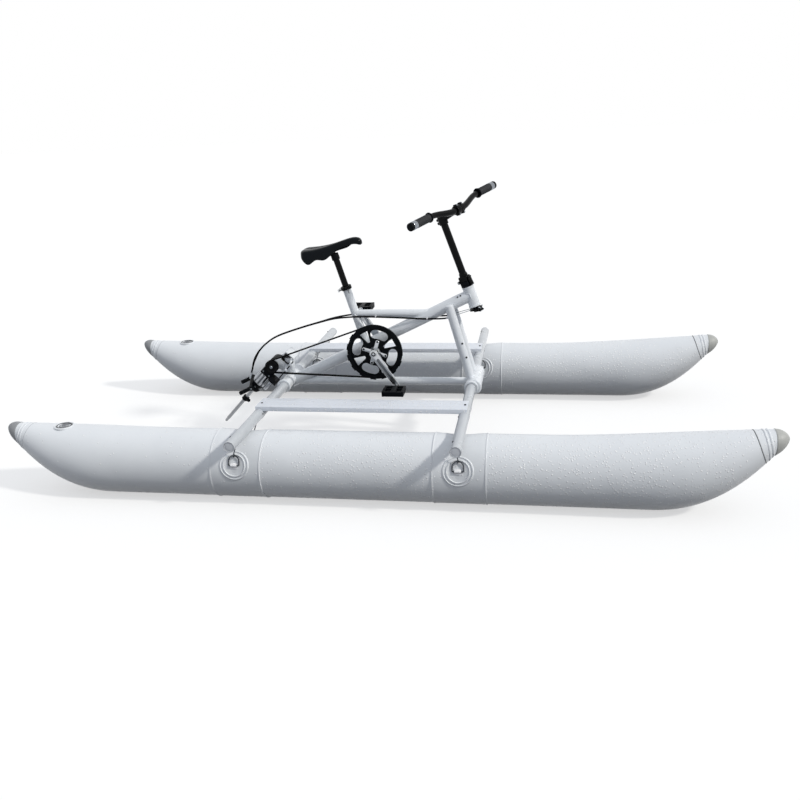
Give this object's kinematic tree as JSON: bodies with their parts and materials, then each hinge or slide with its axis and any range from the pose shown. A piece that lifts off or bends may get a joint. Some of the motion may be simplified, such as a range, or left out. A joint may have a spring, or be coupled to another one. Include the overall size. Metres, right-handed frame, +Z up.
{
  "type": "water bike",
  "caption": "Pedal water bike: a bicycle frame with foot planks on long inflatable pontoons, driving a steered, tilting shaft by a belt.",
  "frame": {"origin": "middle of the footprint, on the surface that the pontoons rest on", "axes": "+X towards the bow, +Y towards the rider's left, +Z up"},
  "size_m": [3, 1.6, 1.1048],
  "materials": {
    "white_pvc": "satin coated fabric",
    "grey_rubber": "matte moulded",
    "white_paint": "gloss powder coat",
    "white_plank": "satin white",
    "stainless": "polished",
    "polished_alloy": "polished",
    "black_alloy": "black anodised",
    "black_plastic": "moulded",
    "black_rubber": "matte",
    "grip_rubber": "soft matte"
  },
  "bodies": {
    "frame": {"pontoon_right": "white_pvc", "pontoon_left": "white_pvc", "tip_cap_bow_right": "grey_rubber", "tip_cap_bow_left": "grey_rubber", "tip_cap_stern_right": "grey_rubber", "tip_cap_stern_left": "grey_rubber", "air_valve_right": "grey_rubber", "air_valve_left": "grey_rubber", "lashing_ring_front_right_outer": "stainless", "lashing_ring_front_right_inner": "stainless", "lashing_ring_front_left_outer": "stainless", "lashing_ring_front_left_inner": "stainless", "lashing_ring_rear_right_outer": "stainless", "lashing_ring_rear_right_inner": "stainless", "lashing_ring_rear_left_outer": "stainless", "lashing_ring_rear_left_inner": "stainless", "cross_tube_front_right": "white_paint", "cross_tube_front_left": "white_paint", "cross_tube_rear_right": "white_paint", "cross_tube_rear_left": "white_paint", "foot_plank_right": "white_plank", "foot_plank_left": "white_plank", "front_joint": "white_paint", "rear_joint": "white_paint", "centre_tube": "white_paint", "main_tube": "white_paint", "top_tube": "white_paint", "seat_tube": "white_paint", "head_tube": "white_paint", "bb_shell": "white_paint", "front_upright_right": "white_paint", "front_upright_left": "white_paint", "drive_bracket": "white_paint", "drive_belt": "black_rubber", "steering_cable_right": "black_rubber", "steering_cable_left": "black_rubber", "seat_clamp": "black_alloy"},
    "steering_column": {"steerer": "black_alloy", "steering_disc": "black_alloy"},
    "handlebar_post": {"handlepost": "black_alloy", "stem": "black_alloy", "handlebar": "black_alloy", "grip_right": "grip_rubber", "grip_left": "grip_rubber"},
    "latch": {"latch_lever": "black_alloy"},
    "seat": {"seat_post": "black_alloy", "saddle_clamp": "black_alloy", "saddle": "black_plastic"},
    "seat_lever": {"seat_clamp_lever": "polished_alloy"},
    "crankset": {"crank_pulley": "black_plastic", "crank_right": "polished_alloy", "crank_left": "polished_alloy"},
    "right_pedal": {"pedal_right": "black_plastic"},
    "left_pedal": {"pedal_left": "black_plastic"},
    "belt_pulley": {"drive_pulley": "black_alloy"},
    "leg": {"gearbox": "black_alloy", "leg_housing": "polished_alloy"},
    "swivel": {"swivel_head": "black_alloy"},
    "shaft": {"drive_shaft": "stainless"},
    "stop_rod": {"leg_stop_rod": "black_alloy"}
  },
  "joints": [
    {"name": "steering", "type": "hinge", "parent": "frame", "child": "steering_column", "pos_m": [0.369, 0, 0.608], "axis": [-0.3322, 0, 0.9432], "range_deg": [-13, 77]},
    {"name": "handlepost_fold", "type": "hinge", "parent": "steering_column", "child": "handlebar_post", "pos_m": [0.31074, 0.01304, 0.71063], "axis": [-0.4998, -0.848, -0.176], "range_deg": [0, 85]},
    {"name": "latch_open", "type": "hinge", "parent": "handlebar_post", "child": "latch", "pos_m": [0.34726, -0.0142, 0.73817], "axis": [-0.4998, -0.848, -0.176], "range_deg": [0, 80]},
    {"name": "saddle_height", "type": "slide", "parent": "frame", "child": "seat", "axis": [-0.2768, 0, 0.9609], "range_m": [-0.08, 0.06]},
    {"name": "seat_lever_open", "type": "hinge", "parent": "frame", "child": "seat_lever", "pos_m": [-0.21593, -0.0275, 0.68656], "axis": [-0.2768, 0, 0.9609], "range_deg": [0, 90]},
    {"name": "crank_spin", "type": "hinge", "parent": "frame", "child": "crankset", "pos_m": [-0.064, 0, 0.424], "axis": [0, 1, 0], "continuous": true},
    {"name": "pedal_right_spin", "type": "hinge", "parent": "crankset", "child": "right_pedal", "pos_m": [0.03093, -0.172, 0.28057], "axis": [0, 1, 0], "continuous": true},
    {"name": "pedal_left_spin", "type": "hinge", "parent": "crankset", "child": "left_pedal", "pos_m": [-0.15893, 0.172, 0.56743], "axis": [0, 1, 0], "continuous": true},
    {"name": "drive_pulley_spin", "type": "hinge", "parent": "frame", "child": "belt_pulley", "pos_m": [-0.539, 0, 0.3545], "axis": [0, 1, 0], "continuous": true},
    {"name": "leg_tilt", "type": "hinge", "parent": "frame", "child": "leg", "pos_m": [-0.539, 0, 0.3545], "axis": [0, 1, 0], "range_deg": [0, 60], "deforming": ["steering_cable_right", "steering_cable_left"]},
    {"name": "swivel_turn", "type": "hinge", "parent": "leg", "child": "swivel", "pos_m": [-0.539, 0, 0.3545], "axis": [-0.6921, 0, -0.7218], "range_deg": [-7.5, 43.5]},
    {"name": "drive_shaft_spin", "type": "hinge", "parent": "leg", "child": "shaft", "pos_m": [-0.539, 0, 0.3545], "axis": [-0.6921, 0, -0.7218], "continuous": true},
    {"name": "stop_rod_slide", "type": "slide", "parent": "frame", "child": "stop_rod", "axis": [0.6847, 0, 0.7288], "range_m": [0, 0.02]}
  ],
  "couplings": [
    {"joint": "drive_pulley_spin", "follows": "crank_spin", "ratio": 4.422},
    {"joint": "drive_shaft_spin", "follows": "crank_spin", "ratio": 4.422},
    {"joint": "swivel_turn", "follows": "steering", "ratio": 0.5625}
  ]
}
